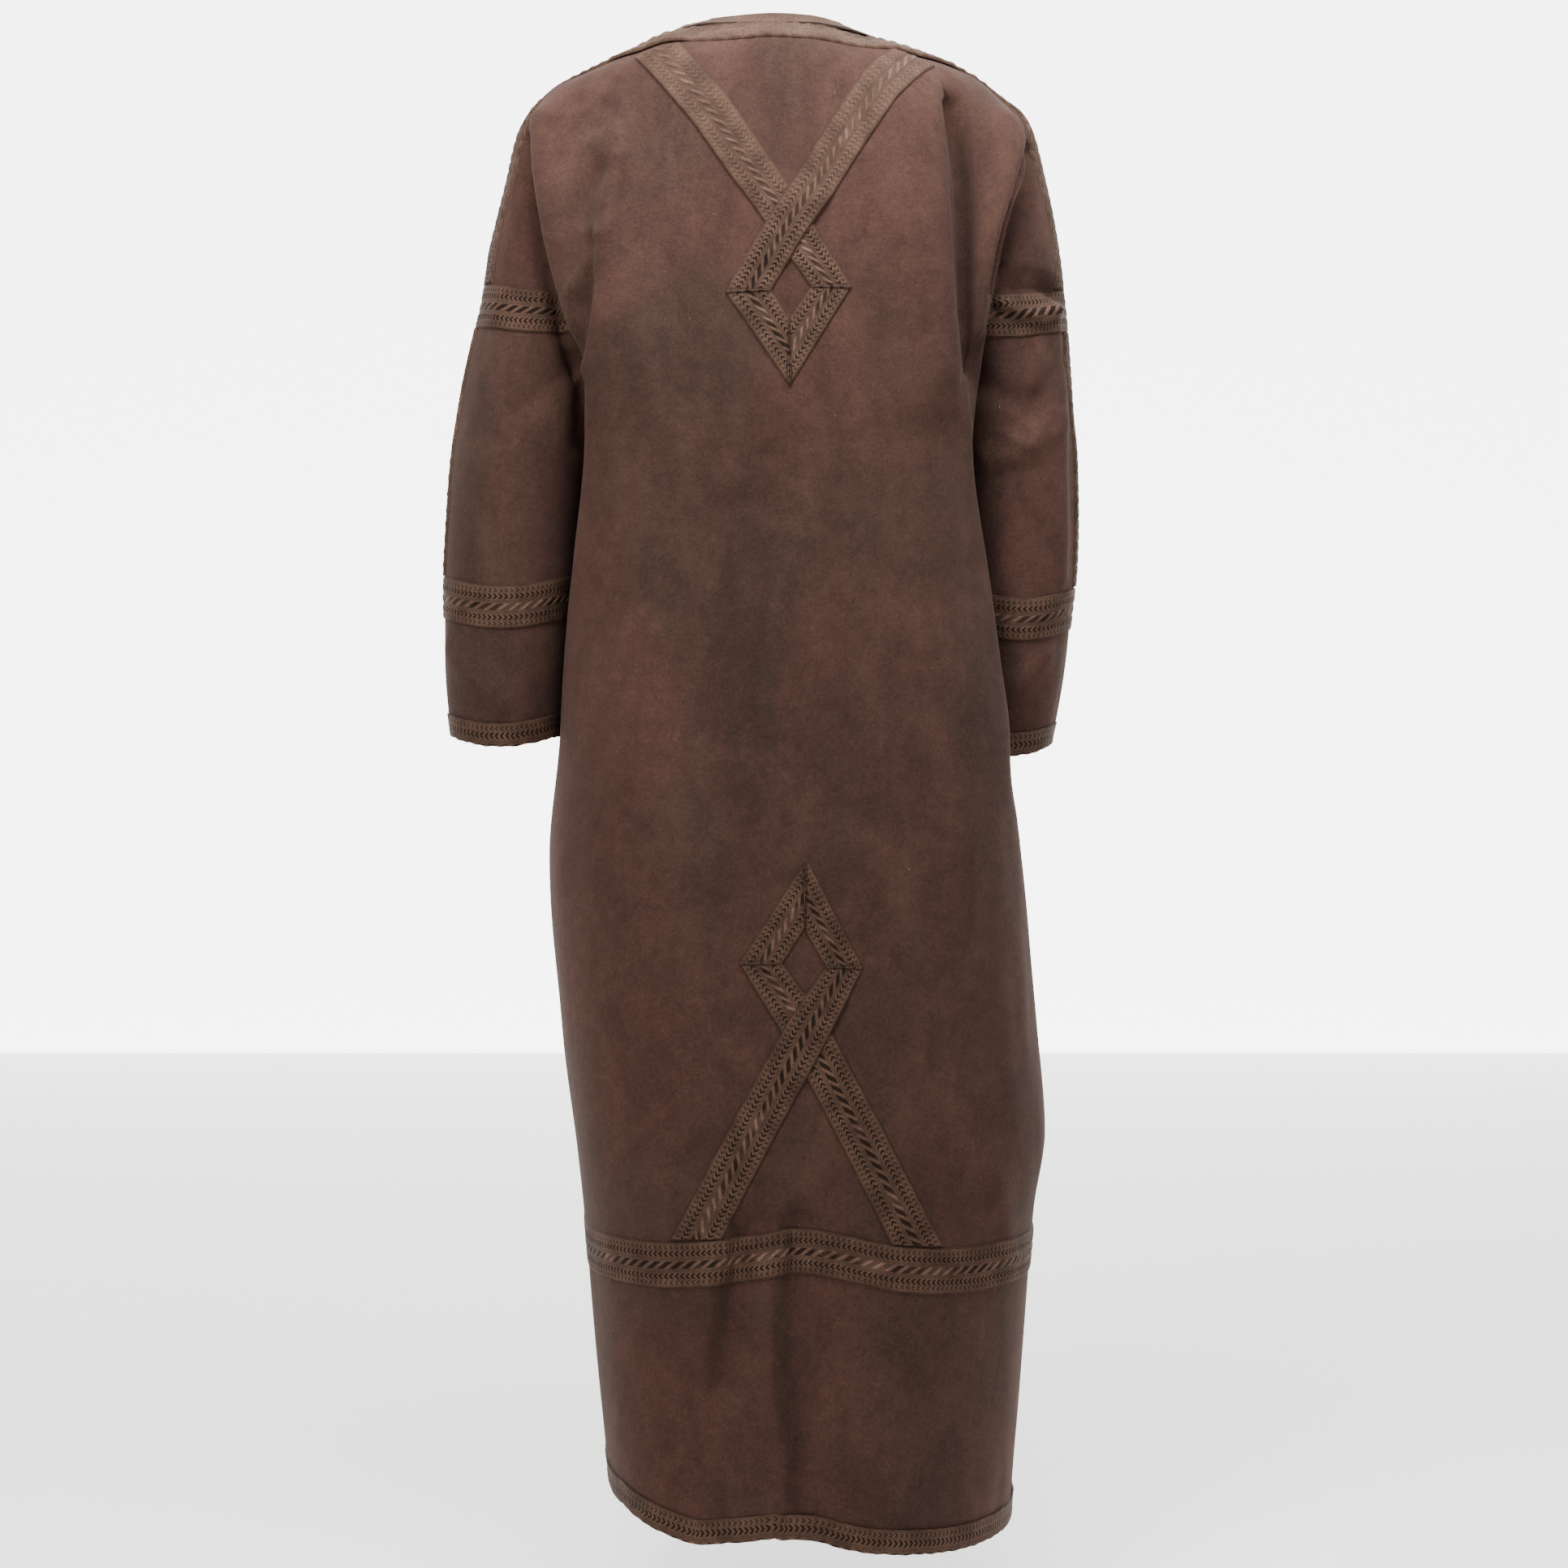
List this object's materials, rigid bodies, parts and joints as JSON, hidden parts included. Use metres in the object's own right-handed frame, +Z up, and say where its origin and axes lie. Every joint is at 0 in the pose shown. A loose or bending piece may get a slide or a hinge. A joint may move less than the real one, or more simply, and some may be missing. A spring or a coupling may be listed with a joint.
{
  "type": "thobe",
  "caption": "Long loose winter thobe in napped cloth with wide woven braid, hollow as worn with hanging sleeves; neck, cuffs and hem open.",
  "frame": {"origin": "centre of the neck opening, level with the neck corners, where the wearer's shoulders hold it", "axes": "+Z up, the wearer faces +Y so the decorated back faces -Y, +X is the wearer's right"},
  "size_m": [0.5821, 0.3413, 1.3499],
  "materials": {
    "suede_cloth": "dark brown napped cloth, soft two-tone sheen",
    "woven_braid": "brown woven braid with satin leaves, chevrons and ribs"
  },
  "bodies": {
    "root": {"back_panel": "suede_cloth", "front_panel": "suede_cloth", "sleeve_left": "suede_cloth", "sleeve_right": "suede_cloth", "shoulder_braid": "woven_braid", "arm_braid_left": "woven_braid", "arm_braid_right": "woven_braid", "upper_arm_band_left": "woven_braid", "upper_arm_band_right": "woven_braid", "forearm_band_left": "woven_braid", "forearm_band_right": "woven_braid", "upper_motif_under": "woven_braid", "upper_motif_over": "woven_braid", "lower_motif_under": "woven_braid", "lower_motif_over": "woven_braid", "hem_band": "woven_braid", "neck_binding": "woven_braid", "cuff_binding_left": "woven_braid", "cuff_binding_right": "woven_braid", "hem_binding": "woven_braid"}
  },
  "joints": []
}
